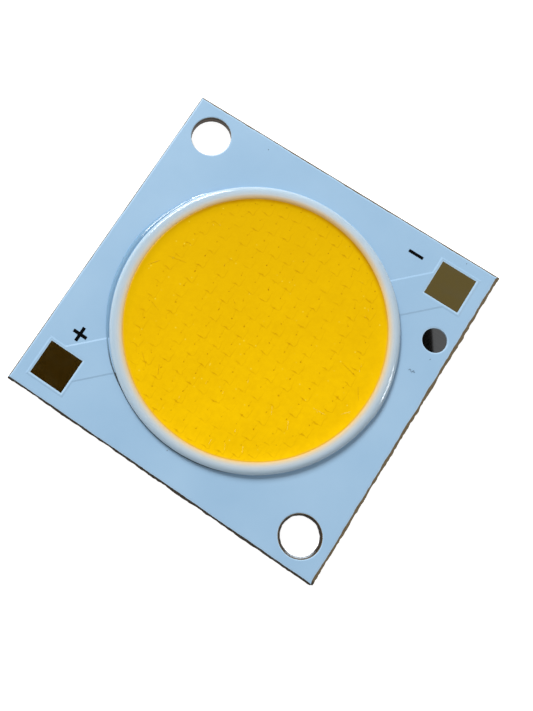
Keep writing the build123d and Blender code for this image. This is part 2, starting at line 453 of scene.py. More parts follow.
string_count = 12
chips_in_string = 12
chip_width = 0.8 * MM
chip_length = 1.0 * MM
array_radius = (10.4 - 0.1) * MM - math.hypot(chip_width, chip_length) / 2
outer_x = array_radius * math.sin(math.radians(41.8))
string_bow = 0.69
chip_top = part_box("chip_string_06")[1].z


def string_shape(string):
    """Where a string ends across and along the field, and how far its middle bows out."""
    end_x = outer_x * (2 * string / (string_count - 1) - 1)
    end_y = math.sqrt(array_radius ** 2 - end_x ** 2)
    return end_x, end_y, end_x * string_bow * (end_x / array_radius) ** 2


def chip_places(string):
    """The chip centres of one string, from its upper end to its lower one."""
    end_x, end_y, bow = string_shape(string)
    levels = [1 - 2 * row / (chips_in_string - 1) for row in range(chips_in_string)]
    return [(end_x + bow * (1 - level ** 2), end_y * level) for level in levels]


# Sapphire die with its gallium nitride layer: pale blue-grey and glassy, faintly uneven.
sapphire_die, add, place = start_material("sapphire_die")
tint = add("ShaderNodeTexNoise", {"Vector": place, "Scale": 1 / (0.4 * MM)})
colour = add("ShaderNodeMix", {0: tint, 6: linear("#B9C8D2"), 7: linear("#D5DFE4")}, data_type="RGBA")
end_material(add, {"Base Color": colour, "Roughness": 0.15, "IOR": 1.77})
dress([f"chip_string_{string + 1:02d}" for string in range(string_count)], sapphire_die)


# The bond wires are thin gold wires, looped from each chip to the next and down to the copper at
# both ends of a string. Each starts as a ball and ends as a flat stitch.

wire_diameter = 0.03 * MM
loop_height = 0.13 * MM
ball_offset = 0.4 * chip_length
stitch_offset = 0.45 * chip_length
copper_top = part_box("copper_negative")[1].z
wire_landing_radius = 10.95 * MM

wire_points = []
for string in range(string_count):
    places = chip_places(string)
    runs = []
    (end_x, first_y), (_, last_y) = places[0], places[-1]
    landing = math.sqrt(wire_landing_radius ** 2 - end_x ** 2)
    runs.append(((end_x, first_y + ball_offset, chip_top), (end_x, landing, copper_top)))
    for (x, y), (next_x, next_y) in zip(places, places[1:]):
        runs.append(((x, y - stitch_offset, chip_top), (next_x, next_y + ball_offset, chip_top)))
    runs.append(((end_x, last_y - stitch_offset, chip_top), (end_x, -landing, copper_top)))
    for run in runs:
        wire_points += [(x, y, z + wire_diameter / 2) for x, y, z in run]
chord_edges = [(i, i + 1) for i in range(0, len(wire_points), 2)]
bond_wires, mesh = add_piece("bond_wires", wire_points, chord_edges, [])

# Drawn gold wire: a deep yellow metal, bright and smooth.
gold_wire, add, place = start_material("drawn_gold_wire")
draw = add("ShaderNodeTexNoise", {"Vector": place, "Scale": 1 / (0.2 * MM)})
roughness = add("ShaderNodeMapRange", {0: draw, 3: 0.14, 4: 0.26})
end_material(add, {"Base Color": linear("#F2C35B"), "Metallic": 1.0, "Roughness": roughness})


def start_tree(name, takes, gives):
    """A new geometry tree, what adds its nodes, and its group input's sockets by name."""
    tree = bpy.data.node_groups.new(name, "GeometryNodeTree")
    for title, kind in takes.items():
        tree.interface.new_socket(title, in_out="INPUT", socket_type=f"NodeSocket{kind}")
    tree.interface.new_socket(gives, in_out="OUTPUT", socket_type="NodeSocketGeometry")
    add = partial(add_node, tree)
    return tree, add, add("NodeGroupInput").outputs


def end_tree(add, geometry, material):
    """Makes a tree's instances real, gives them their material and puts them out."""
    whole = add("GeometryNodeRealizeInstances", {0: geometry})
    painted = add("GeometryNodeSetMaterial", {"Geometry": whole, "Material": material})
    add("NodeGroupOutput", {0: painted})


looped_wires, add, given = start_tree(
    "looped_wires",
    {"Chords": "Geometry", "Wire Diameter": "Float", "Loop Height": "Float", "Wire Metal": "Material"},
    "Wires")
chords = add("GeometryNodeMeshToCurve", {0: given["Chords"]})
steps = add("GeometryNodeResampleCurve", {"Curve": chords, "Count": 9})
share = add("GeometryNodeSplineParameter").outputs["Factor"]
rest = add("ShaderNodeMath", {0: 1.0, 1: share}, operation="SUBTRACT")
hump = add("ShaderNodeMath", {0: share, 1: rest}, operation="MULTIPLY")
hump = add("ShaderNodeMath", {0: hump, 1: 4.0}, operation="MULTIPLY")
lift = add("ShaderNodeMath", {0: hump, 1: given["Loop Height"]}, operation="MULTIPLY")
lift = add("ShaderNodeCombineXYZ", {2: lift})
looped = add("GeometryNodeSetPosition", {"Geometry": steps, "Offset": lift})
radius = add("ShaderNodeMath", {0: given["Wire Diameter"], 1: 0.5}, operation="MULTIPLY")
profile = add("GeometryNodeCurvePrimitiveCircle", {"Resolution": 6, "Radius": radius})
tubes = add("GeometryNodeCurveToMesh", {"Curve": looped, "Profile Curve": profile, "Fill Caps": True})
end_tree(add, tubes, given["Wire Metal"])


def apply_tree(piece, tree, values):
    """Runs a geometry tree on a piece and leaves the result as its plain mesh."""
    modifier = piece.modifiers.new(tree.name, "NODES")
    modifier.node_group = tree
    for socket in tree.interface.items_tree:
        if socket.name in values:
            modifier[socket.identifier] = values[socket.name]
    bpy.context.view_layer.update()
    depsgraph = bpy.context.evaluated_depsgraph_get()
    mesh = bpy.data.meshes.new_from_object(piece.evaluated_get(depsgraph))
    piece.modifiers.clear()
    piece.data = mesh


apply_tree(bond_wires, looped_wires, {
    "Wire Diameter": wire_diameter, "Loop Height": loop_height, "Wire Metal": gold_wire})
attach(bond_wires, "root")
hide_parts(*[f"bond_wires_{string + 1:02d}" for string in range(string_count)])


# The bead is white silicone, laid as two half turns from a needle. They meet on the plate's cross
# line, where each end laps the next with a small outward jog, and the left side wets the ink with
# a thin film. The gel stains its inner side.

bead_low, bead_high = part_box("dam_ring")
bead_middle = 11.0 * MM
bead_bulge = 11.48 * MM
bead_tuck = 11.42 * MM
bead_crest = bead_high.z
bead_floor = bead_low.z
inner_shoulder = mask_level + 0.31 * MM
outer_shoulder = mask_level + 0.16 * MM
turn_steps = 360
back_steps = 9
# The side of the ring where shade is painted on the bead and the gel, as a direction over the plate.
shaded_side_x, shaded_side_y = -0.17, 0.98
# How far out the film at the foot reaches, by the angle round the ring in degrees.
film_reach = [
    (0, 11.47), (130, 11.47), (150, 11.66), (178, 11.86), (190, 11.82), (225, 11.68),
    (242, 11.53), (285, 11.53), (300, 11.47), (360, 11.47)]


def soft_step(value, low, high):
    """Rises smoothly from 0 at low to 1 at high."""
    share = min(1, max(0, (value - low) / (high - low)))
    return share * share * (3 - 2 * share)


def bead_edge(turn):
    """The radius where the gel meets the bead, which is a little off the plate's middle."""
    return (10.40 + 0.08 * math.cos(turn) - 0.045 * math.cos(2 * turn)) * MM


def film_radius(degrees):
    """How far the film at the bead's foot reaches at one angle."""
    for (start, low), (end, high) in zip(film_reach, film_reach[1:]):
        if degrees <= end:
            return (low + (high - low) * soft_step(degrees, start, end)) * MM
    return film_reach[-1][1] * MM


verts = []
gel_distance = []
crease_shade_weights = []
for i in range(turn_steps):
    turn = 2 * math.pi * i / turn_steps
    degrees = 360 * i / turn_steps
    wobble = 0.010 * math.sin(3 * turn + 0.6) + 0.008 * math.sin(7 * turn + 2.0)
    lap = soft_step(degrees % 180, 170, 178) + (1 - soft_step(degrees % 180, 0, 20)) * (degrees % 180 < 90)
    drawn_in = soft_step(degrees, 140, 165) * (1 - soft_step(degrees, 200, 230))
    swell = (wobble + (0.06 * lap if degrees < 90 or degrees > 270 else -0.08 * drawn_in)) * MM
    inner, bulge, tuck = bead_edge(turn), bead_bulge + swell, bead_tuck + swell
    film = max(film_radius(degrees), tuck + 0.03 * MM)
    section = [(inner, bead_floor), (inner, inner_shoulder)]
    for k in range(1, back_steps + 1):
        rise = math.pi / 2 * k / back_steps
        section.append((
            bead_middle - (bead_middle - inner) * math.cos(rise),
            inner_shoulder + (bead_crest - inner_shoulder) * math.sin(rise)))
    for k in range(1, back_steps + 1):
        fall = math.pi / 2 * k / back_steps
        section.append((
            bead_middle + (bulge - bead_middle) * math.sin(fall),
            outer_shoulder + (bead_crest - outer_shoulder) * math.cos(fall)))
    section += [(bulge - 0.012 * MM, outer_shoulder - 0.07 * MM), (tuck, mask_level + 0.03 * MM)]
    section += [(tuck + 0.015 * MM, mask_level + 0.012 * MM), (film, mask_level + 0.006 * MM)]
    section += [(film, bead_floor + 0.11 * MM), (tuck, bead_floor)]
    verts += [(r * math.cos(turn), r * math.sin(turn), z) for r, z in section]
    gel_distance += [(r - inner) / MM for r, z in section]
    # Painted shade in the crease under the bulge, low on one side of the ring.
    crease_shade = soft_step(degrees, 212, 235) * (1 - soft_step(degrees, 275, 310))
    crease_shade_weights += [crease_shade if r > tuck - 0.001 * MM and z < outer_shoulder - 0.05 * MM else 0.0 for r, z in section]
ring = len(section)
faces = []
for i in range(turn_steps):
    j = (i + 1) % turn_steps
    for k in range(ring):
        m = (k + 1) % ring
        faces.append((i * ring + k, i * ring + m, j * ring + m, j * ring + k))
silicone_bead, mesh = add_piece("silicone_bead", verts, [], faces)
mesh.shade_smooth()
mark_points(mesh, "from_gel", gel_distance)
mark_points(mesh, "crease_shade", crease_shade_weights)

# White silicone rubber: opaque with a soft translucent skin and a gloss, stained yellow next to the gel, with
# painted shade making the stain darker along the upper side, a foot that is bluish and darkened with painted
# shade, and a painted dark shade low in the crease on one side.
white_silicone, add, place = start_material("white_silicone_rubber")
from_gel = add("ShaderNodeAttribute", attribute_name="from_gel").outputs["Fac"]
stain = add("ShaderNodeMapRange", {0: from_gel, 1: 0.0, 2: 0.8})
colour = add("ShaderNodeValToRGB", {0: stain})
colour.color_ramp.elements[0].color = linear("#E2A226")
colour.color_ramp.elements[1].color = linear("#B7CCDB")
stops = (
    (0.06, "#E8B850"), (0.14, "#E6C584"), (0.25, "#E0CBA4"),
    (0.38, "#D8CEBC"), (0.52, "#CDD2D1"), (0.75, "#C3D2DD"))
for position, tint in stops:
    colour.color_ramp.elements.new(position).color = linear(tint)
upper_side = add(
    "ShaderNodeVectorMath", {0: place, 1: (shaded_side_x / bead_middle, shaded_side_y / bead_middle, 0.0)},
    operation="DOT_PRODUCT")
upper_side = add("ShaderNodeMapRange", {0: upper_side.outputs["Value"], 1: 0.6, 2: 0.95})
# Painted shade: the stained inner side darker and browner along the upper side.
upper_shade = add("ShaderNodeMapRange", {0: from_gel, 1: 0.15, 2: 0.45, 3: 0.75, 4: 0.0})
upper_shade = add("ShaderNodeMath", {0: upper_shade, 1: upper_side}, operation="MULTIPLY")
colour = add("ShaderNodeMix", {0: upper_shade, 6: colour, 7: linear("#C9A25C")}, data_type="RGBA")
# Painted shade: the thin foot a darker blue than the ink.
shaded_foot = add("ShaderNodeMapRange", {0: from_gel, 1: 1.10, 2: 1.16})
colour = add("ShaderNodeMix", {0: shaded_foot, 6: colour, 7: linear("#83ABCC")}, data_type="RGBA")
# Painted shade: near-black low in the crease under the bulge on one side.
crease_shade = add("ShaderNodeAttribute", attribute_name="crease_shade").outputs["Fac"]
colour = add("ShaderNodeMix", {0: crease_shade, 6: colour, 7: linear("#4A5356")}, data_type="RGBA")
wave = add("ShaderNodeTexNoise", {"Vector": place, "Scale": 1 / (1.2 * MM), "Detail": 2.0})
relief = add("ShaderNodeBump", {"Strength": 0.3, "Distance": 0.02 * MM, "Height": wave})
wet = add("ShaderNodeMapRange", {0: from_gel, 1: 0.25, 2: 0.6, 3: 0.6, 4: 0.10})
end_material(add, {
    "Base Color": colour, "Roughness": wet, "IOR": 1.41, "Normal": relief,
    "Subsurface Weight": 0.25, "Subsurface Radius": (0.4 * MM, 0.35 * MM, 0.3 * MM), "Subsurface Scale": 1.0})
mesh.materials.append(white_silicone)
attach(silicone_bead, "root")
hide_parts("dam_ring")


# The phosphor gel is clear silicone filled with yellow phosphor, poured over the chips and cured.
# Its rim climbs the bead. The chips, the ball and stitch of each wire and the wires show through it faintly,
# and some wires glint with painted highlights.

gel_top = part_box("phosphor_gel")[1].z
gel_flat = mask_level + 0.28 * MM
gel_radius = 10.4 * MM
gel_rim_start = 9.5 * MM
gel_rim_power = 2.2
ring_radii = [0.25 * MM * i for i in range(1, 38)] + [9.4 * MM, 9.6 * MM, 9.75 * MM, 9.9 * MM]
edge_gaps = [0.28 * MM, 0.16 * MM, 0.09 * MM, 0.04 * MM, 0.0, -0.06 * MM]
turn_steps = 240
# The photograph's up direction over the plate.
up_x, up_y = -0.5567, 0.8308


def gel_level(radius, edge):
    """The gel's surface, flat in the middle and rising to the bead at its edge."""
    share = min(1, max(0, (radius - gel_rim_start) / (edge - gel_rim_start)))
    return gel_flat + (gel_top - gel_flat) * share ** gel_rim_power


def string_at(x, y):
    """The number of the string at a point, with parts of one between strings."""
    rows = []
    for string in range(string_count):
        end_x, end_y, bow = string_shape(string)
        rows.append(end_x + bow * (1 - min(1, (y / end_y) ** 2)))
    if x <= rows[0]:
        return (x - rows[0]) / (rows[1] - rows[0])
    for string in range(string_count - 1):
        if x <= rows[string + 1]:
            return string + (x - rows[string]) / (rows[string + 1] - rows[string])
    return string_count - 1 + (x - rows[-1]) / (rows[-1] - rows[-2])


verts = [(0.0, 0.0, gel_flat)]
bead_distance = [10.0]
for k in range(len(ring_radii) + len(edge_gaps)):
    for i in range(turn_steps):
        turn = 2 * math.pi * i / turn_steps
        edge = bead_edge(turn)
        radius = ring_radii[k] if k < len(ring_radii) else edge - edge_gaps[k - len(ring_radii)]
        verts.append((radius * math.cos(turn), radius * math.sin(turn), gel_level(radius, edge)))
        bead_distance.append((edge - radius) / MM)
outer_start = len(verts) - turn_steps
foot_start = len(verts)
verts += [(x, y, plate_top) for x, y, z in verts[outer_start:]]
bead_distance += bead_distance[outer_start:]
faces = [(0, 1 + i, 1 + (i + 1) % turn_steps) for i in range(turn_steps)]
for k in range(len(ring_radii) + len(edge_gaps)):
    for i in range(turn_steps):
        j = (i + 1) % turn_steps
        a, b = 1 + k * turn_steps, 1 + (k + 1) * turn_steps
        faces.append((a + i, b + i, b + j, a + j))
faces.append([foot_start + i for i in reversed(range(turn_steps))])
phosphor_gel, mesh = add_piece("phosphor_silicone", verts, [], faces)
mesh.shade_smooth()
mark_points(mesh, "string", [string_at(x, y) for x, y, z in verts])
mark_points(mesh, "to_bead", bead_distance)

# Phosphor-filled silicone: saturated yellow, cloudy and smooth. The chip rule above is worked
# out again here, so that each mark falls on its own chip.
phosphor, add, place = start_material("phosphor_filled_silicone")
drift = add("ShaderNodeTexNoise", {"Vector": place, "Scale": 1 / (0.45 * MM), "Detail": 1.0})
drift = add("ShaderNodeVectorMath", {0: drift.outputs["Color"], 1: (0.5, 0.5, 0.5)}, operation="SUBTRACT")
drift = add("ShaderNodeVectorMath", {0: drift, "Scale": 0.30 * MM}, operation="SCALE")
drift = add("ShaderNodeVectorMath", {0: place, 1: drift}, operation="ADD")
spot = add("ShaderNodeSeparateXYZ", {0: drift})
string = add("ShaderNodeAttribute", attribute_name="string").outputs["Fac"]
string = add("ShaderNodeMath", {0: string}, operation="ROUND")
string = add("ShaderNodeClamp", {0: string, 1: 0.0, 2: string_count - 1.0})
end_x = add(
    "ShaderNodeMath", {0: string, 1: 2 * outer_x / (string_count - 1), 2: -outer_x}, operation="MULTIPLY_ADD")
square_x = add("ShaderNodeMath", {0: end_x, 1: 2.0}, operation="POWER")
square_y = add("ShaderNodeMath", {0: array_radius ** 2, 1: square_x}, operation="SUBTRACT")
end_y = add("ShaderNodeMath", {0: square_y}, operation="SQRT")
bow = add("ShaderNodeMath", {0: end_x, 1: square_x}, operation="MULTIPLY")
bow = add("ShaderNodeMath", {0: bow, 1: string_bow / array_radius ** 2}, operation="MULTIPLY")
height = add("ShaderNodeMath", {0: spot.outputs[1], 1: end_y}, operation="DIVIDE")
row = add(
    "ShaderNodeMath", {0: height, 1: -(chips_in_string - 1) / 2, 2: (chips_in_string - 1) / 2},
    operation="MULTIPLY_ADD")
row = add("ShaderNodeMath", {0: row}, operation="ROUND")
row = add("ShaderNodeClamp", {0: row, 1: 0.0, 2: chips_in_string - 1.0})
chip_height = add("ShaderNodeMath", {0: row, 1: -2 / (chips_in_string - 1), 2: 1.0}, operation="MULTIPLY_ADD")
chip_square = add("ShaderNodeMath", {0: chip_height, 1: 2.0}, operation="POWER")
chip_bow = add("ShaderNodeMath", {0: 1.0, 1: chip_square}, operation="SUBTRACT")
chip_x = add("ShaderNodeMath", {0: chip_bow, 1: bow, 2: end_x}, operation="MULTIPLY_ADD")
chip_y = add("ShaderNodeMath", {0: chip_height, 1: end_y}, operation="MULTIPLY")
near_x = add("ShaderNodeMath", {0: spot.outputs[0], 1: chip_x}, operation="SUBTRACT")
near_y = add("ShaderNodeMath", {0: spot.outputs[1], 1: chip_y}, operation="SUBTRACT")
cell = add("ShaderNodeCombineXYZ", {0: string, 1: row})
luck = add("ShaderNodeTexWhiteNoise", {"Vector": cell}, noise_dimensions="3D")
shift = add("ShaderNodeSeparateColor", {0: luck.outputs["Color"]})
sway = add("ShaderNodeMapRange", {0: shift.outputs[0], 3: -0.06 * MM, 4: 0.06 * MM})
near_x = add("ShaderNodeMath", {0: near_x, 1: sway}, operation="SUBTRACT")

# The chip's outline, a soft line that is heavier along its right and lower sides.
corner_radius = 0.1 * MM
outline_reach = 0.11 * MM
past = []
for near, size in ((near_x, chip_width), (near_y, chip_length)):
    side = add("ShaderNodeMath", {0: near}, operation="ABSOLUTE")
    side = add("ShaderNodeMath", {0: side, 1: size / 2 - corner_radius}, operation="SUBTRACT")
    past.append(add("ShaderNodeMath", {0: side, 1: 0.0}, operation="MAXIMUM"))
corner = add("ShaderNodeCombineXYZ", {0: past[0], 1: past[1]})
corner = add("ShaderNodeVectorMath", {0: corner}, operation="LENGTH").outputs["Value"]
edge = add("ShaderNodeMath", {0: corner, 1: outline_reach}, operation="SUBTRACT")
edge = add("ShaderNodeMath", {0: edge}, operation="ABSOLUTE")
edge = add(
    "ShaderNodeMapRange", {0: edge, 1: 0.012 * MM, 2: 0.06 * MM, 3: 1.0, 4: 0.0},
    interpolation_type="SMOOTHSTEP")
heavy = add("ShaderNodeMath", {0: near_x, 1: near_y}, operation="SUBTRACT")
heavy = add("ShaderNodeMapRange", {0: heavy, 1: -0.3 * MM, 2: 0.7 * MM, 3: 0.15, 4: 1.0})
edge = add("ShaderNodeMath", {0: edge, 1: heavy}, operation="MULTIPLY")

# The ball near the chip's upper side, and the stitch across its lower side.
ball_height = 0.42 * MM
stitch_depth = 0.47 * MM
near = add("ShaderNodeCombineXYZ", {0: near_x, 1: near_y})
ball = add("ShaderNodeVectorMath", {0: near, 1: (0.0, ball_height, 0.0)}, operation="DISTANCE")
ball = add(
    "ShaderNodeMapRange", {0: ball.outputs["Value"], 1: 0.03 * MM, 2: 0.075 * MM, 3: 1.0, 4: 0.0},
    interpolation_type="SMOOTHSTEP")
bar_x = add("ShaderNodeMath", {0: near_x}, operation="ABSOLUTE")
bar_y = add("ShaderNodeMath", {0: near_y, 1: stitch_depth}, operation="ADD")
bar_y = add("ShaderNodeMath", {0: bar_y}, operation="ABSOLUTE")
bar_x = add("ShaderNodeMapRange", {0: bar_x, 1: 0.14 * MM, 2: 0.26 * MM, 3: 1.0, 4: 0.0})
bar_y = add("ShaderNodeMapRange", {0: bar_y, 1: 0.015 * MM, 2: 0.06 * MM, 3: 1.0, 4: 0.0})
stitch = add("ShaderNodeMath", {0: bar_x, 1: bar_y}, operation="MULTIPLY")

# The wire itself, a thin line along the string outside the chip's middle.
string_height = add("ShaderNodeMath", {0: height, 1: 2.0}, operation="POWER")
string_share = add("ShaderNodeMath", {0: 1.0, 1: string_height}, operation="SUBTRACT")
string_x = add("ShaderNodeMath", {0: string_share, 1: bow, 2: end_x}, operation="MULTIPLY_ADD")
line = add("ShaderNodeMath", {0: spot.outputs[0], 1: string_x}, operation="SUBTRACT")
line = add("ShaderNodeMath", {0: line, 1: sway}, operation="SUBTRACT")
line = add("ShaderNodeMath", {0: line}, operation="ABSOLUTE")
line = add("ShaderNodeMapRange", {0: line, 1: 0.01 * MM, 2: 0.055 * MM, 3: 1.0, 4: 0.0})
beyond = add("ShaderNodeMath", {0: near_y}, operation="ABSOLUTE")
beyond = add("ShaderNodeMapRange", {0: beyond, 1: 0.33 * MM, 2: 0.42 * MM})
dashes = add("ShaderNodeTexNoise", {"Vector": place, "Scale": 1 / (0.25 * MM)})
dashes = add("ShaderNodeMapRange", {0: dashes, 1: 0.4, 2: 0.6})
line = add("ShaderNodeMath", {0: line, 1: beyond}, operation="MULTIPLY")
line = add("ShaderNodeMath", {0: line, 1: dashes}, operation="MULTIPLY")

# All the dark marks together, some chips clearer than others.
marks = add("ShaderNodeMath", {0: edge, 1: 0.15}, operation="MULTIPLY")
for mark, strength in ((ball, 0.48), (stitch, 0.24), (line, 0.20)):
    marks = add("ShaderNodeMath", {0: mark, 1: strength, 2: marks}, operation="MULTIPLY_ADD")
clear = add("ShaderNodeMapRange", {0: shift.outputs[1], 3: 0.55, 4: 1.15})
marks = add("ShaderNodeMath", {0: marks, 1: clear}, operation="MULTIPLY")

cloud = add("ShaderNodeTexNoise", {"Vector": place, "Scale": 1 / (2.5 * MM), "Detail": 3.0})
cloud = add("ShaderNodeMapRange", {0: cloud, 1: 0.3, 2: 0.7})
mottle = add("ShaderNodeTexNoise", {"Vector": place, "Scale": 1 / (0.35 * MM), "Detail": 2.0})
mottle = add("ShaderNodeMapRange", {0: mottle, 1: 0.3, 2: 0.7})
grain = add("ShaderNodeMix", {0: 0.5, 2: cloud, 3: mottle})
body = add("ShaderNodeMix", {0: grain, 6: linear("#F2BF00"), 7: linear("#FECC00")}, data_type="RGBA")
far_side = add("ShaderNodeVectorMath", {0: place, 1: (up_x / MM, up_y / MM, 0.0)}, operation="DOT_PRODUCT")
far_side = add("ShaderNodeMapRange", {0: far_side.outputs["Value"], 1: -7.0, 2: 9.0, 3: 0.0, 4: 0.7})
body = add("ShaderNodeMix", {0: far_side, 6: body, 7: linear("#DFB000")}, data_type="RGBA")
body = add("ShaderNodeMix", {0: marks, 6: body, 7: linear("#A25800")}, data_type="RGBA")

# Pale flecks painted as glints, where a wire's top or a phosphor grain comes near the surface.
glint_cells = add("ShaderNodeTexVoronoi", {"Vector": place, "Scale": 1 / (0.55 * MM)})
chosen = add("ShaderNodeSeparateColor", {0: glint_cells.outputs["Color"]}).outputs[0]
chosen = add("ShaderNodeMapRange", {0: chosen, 1: 0.55, 2: 0.75})
painted_glint = add("ShaderNodeMapRange", {0: glint_cells.outputs["Distance"], 1: 0.04, 2: 0.13, 3: 0.8, 4: 0.0})
painted_glint = add("ShaderNodeMath", {0: painted_glint, 1: chosen}, operation="MULTIPLY")
body = add("ShaderNodeMix", {0: painted_glint, 6: body, 7: linear("#FFE04A")}, data_type="RGBA")

# The brim: a thin amber line against the bead, scalloped, with painted shadow of the bead making it darker
# along the upper side, and a wider painted shade beside it there.
to_bead = add("ShaderNodeAttribute", attribute_name="to_bead").outputs["Fac"]
scallop = add("ShaderNodeTexNoise", {"Vector": place, "Scale": 1 / (0.9 * MM)})
to_bead = add("ShaderNodeMath", {0: scallop, 1: 0.20, 2: to_bead}, operation="MULTIPLY_ADD")
brim = add(
    "ShaderNodeMapRange", {0: to_bead, 1: 0.05, 2: 0.20, 3: 1.0, 4: 0.0}, interpolation_type="SMOOTHSTEP")
upper_side = add(
    "ShaderNodeVectorMath", {0: place, 1: (shaded_side_x / gel_radius, shaded_side_y / gel_radius, 0.0)},
    operation="DOT_PRODUCT")
upper_side = add("ShaderNodeMapRange", {0: upper_side.outputs["Value"], 1: 0.3, 2: 0.8})
# Painted shadow: the brim darker along the upper side.
brim_tint_and_shadow = add("ShaderNodeMix", {0: upper_side, 6: linear("#EDB93A"), 7: linear("#BB8500")}, data_type="RGBA")
shade = add(
    "ShaderNodeMapRange", {0: to_bead, 1: 0.12, 2: 0.42, 3: 0.75, 4: 0.0}, interpolation_type="SMOOTHSTEP")
shade = add("ShaderNodeMath", {0: shade, 1: upper_side}, operation="MULTIPLY")
body = add("ShaderNodeMix", {0: shade, 6: body, 7: linear("#C48C00")}, data_type="RGBA")
body = add("ShaderNodeMix", {0: brim, 6: body, 7: brim_tint_and_shadow}, data_type="RGBA")
relief = add("ShaderNodeBump", {"Strength": 0.2, "Distance": 0.01 * MM, "Height": cloud})
end_material(add, {
    "Base Color": body, "Roughness": 0.3, "IOR": 1.41, "Specular IOR Level": 0.12, "Normal": relief})
mesh.materials.append(phosphor)
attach(phosphor_gel, "root")
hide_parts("phosphor_gel")


# Some wire loops stand high enough to show at the gel's skin, coloured with painted light: the ones that
# would face the lamp as pale strokes, and the others as dark ones in painted shade.

# Both ends of each stroke, as x and y in millimetres.
pale_strokes = [
    (4.56, -4.50, 4.83, -5.05), (6.19, -4.73, 6.47, -5.36), (3.16, -7.55, 3.22, -7.85),
    (2.02, -9.19, 2.06, -9.73), (3.14, -8.92, 3.31, -9.42), (4.33, -8.30, 4.56, -8.80),
    (-1.84, -7.81, -1.78, -8.05), (-0.72, -5.62, -0.66, -5.88), (0.80, -5.62, 0.86, -5.85),
    (1.94, -3.80, 2.02, -4.05), (-6.78, 5.55, -6.66, 5.40), (-7.23, 5.23, -7.10, 5.12),
    (-9.47, 3.81, -9.36, 3.68), (6.77, 6.12, 6.88, 5.98), (6.84, 5.53, 6.95, 5.40),
    (8.56, 2.09, 8.66, 1.92), (8.70, 1.66, 8.78, 1.48), (7.59, -2.83, 7.72, -3.00),
    (9.28, -2.08, 10.00, -1.25), (7.25, -2.86, 8.34, -2.78)]
dark_strokes = [
    (-8.77, 1.05, -7.28, 1.36), (-9.80, -0.52, -9.16, 0.34), (-7.91, -2.78, -6.97, -3.09),
    (-4.55, -6.61, -4.16, -7.39), (-6.27, -6.53, -5.41, -7.23), (7.25, 1.36, 8.73, 1.05),
    (9.28, 0.42, 9.90, -0.52), (-2.50, 0.90, -2.16, 0.68)]
skin_level = gel_flat - 0.006 * MM

# A wire under a thin skin of gel, in a lit and a shaded copy: pale yellow painted light where the lamp would
# light it, deep yellow painted shade where it wouldn't.
for light, strokes, near_tint, far_tint, gloss in (
        ("lit", pale_strokes, "#F2C400", "#FFE46A", {"Roughness": 0.3}),
        ("shaded", dark_strokes, "#E6B400", "#CFA000", {"Roughness": 0.4, "Specular IOR Level": 0.12})):
    wire_under_gel, add, place = start_material(f"{light}_wire_under_gel")
    skin = add("ShaderNodeTexNoise", {"Vector": place, "Scale": 1 / (0.12 * MM), "Detail": 2.0})
    skin = add("ShaderNodeMapRange", {0: skin, 1: 0.4, 2: 0.6})
    colour = add("ShaderNodeMix", {0: skin, 6: linear(near_tint), 7: linear(far_tint)}, data_type="RGBA")
    end_material(add, {"Base Color": colour, **gloss})
    ends = [(x * MM, y * MM, skin_level) for stroke in strokes for x, y in (stroke[:2], stroke[2:])]
    loop_tops, mesh = add_piece(
        f"{light}_loop_tops", ends, [(i, i + 1) for i in range(0, len(ends), 2)], [])
    apply_tree(loop_tops, looped_wires, {
        "Wire Diameter": wire_diameter, "Loop Height": 0.008 * MM, "Wire Metal": wire_under_gel})
    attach(loop_tops, "root")


# Dust lies loose on the ink: a few dark specks and one curl of lint beside the temperature
# window. Nothing holds it but its own cling.

speck_places = [(12.85, 5.4), (11.4, 13.6), (6.0, 9.2), (-6.9, 13.1), (9.3, 8.2), (-0.35, -11.8)]
dust_specks, mesh = add_piece("dust_specks", [(x * MM, y * MM, mask_level) for x, y in speck_places], [], [])

# House dust: dull grey-brown grains.
dust, add, place = start_material("grey_dust")
grain = add("ShaderNodeTexNoise", {"Vector": place, "Scale": 1 / (0.05 * MM)})
colour = add("ShaderNodeMix", {0: grain, 6: linear("#4C5A66"), 7: linear("#7F8F9B")}, data_type="RGBA")
end_material(add, {"Base Color": colour, "Roughness": 0.9})

scattered_specks, add, given = start_tree(
    "scattered_specks",
    {"Places": "Geometry", "Speck Size": "Float", "Seed": "Int", "Dust": "Material"}, "Specks")
grain = add("GeometryNodeMeshIcoSphere", {"Radius": given["Speck Size"], "Subdivisions": 2})
stretch = add(
    "FunctionNodeRandomValue", {0: (0.7, 0.5, 0.25), 1: (1.5, 1.0, 0.4), "Seed": given["Seed"]},
    data_type="FLOAT_VECTOR")
turn = add(
    "FunctionNodeRandomValue", {0: (0.0, 0.0, 0.0), 1: (0.0, 0.0, 6.28), "Seed": given["Seed"]},
    data_type="FLOAT_VECTOR")
specks = add("GeometryNodeInstanceOnPoints", {
    "Points": given["Places"], "Instance": grain, "Rotation": turn, "Scale": stretch})
end_tree(add, specks, given["Dust"])
apply_tree(dust_specks, scattered_specks, {"Speck Size": 0.05 * MM, "Seed": 3, "Dust": dust})
lint_points = [
    (11.86, 3.78), (11.94, 3.96), (12.02, 3.88), (12.04, 3.72),
    (12.14, 3.86), (12.22, 3.98), (12.26, 3.84), (12.36, 3.92)]
lint_level = mask_level + 0.02 * MM
lint_curl, mesh = add_piece(
    "lint_curl", [(x * MM, y * MM, lint_level) for x, y in lint_points], [(i, i + 1) for i in range(7)], [])
apply_tree(lint_curl, looped_wires, {
    "Wire Diameter": 0.022 * MM, "Loop Height": 0.03 * MM, "Wire Metal": dust})
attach(lint_curl, "root")
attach(dust_specks, "root")


# The studio: a white floor that keeps the module's shadow, a room that is dim overhead and bright
# round the sides, a large soft lamp beyond the upper corner, and a dark card over the camera that
# the pads and the bare metal mirror.

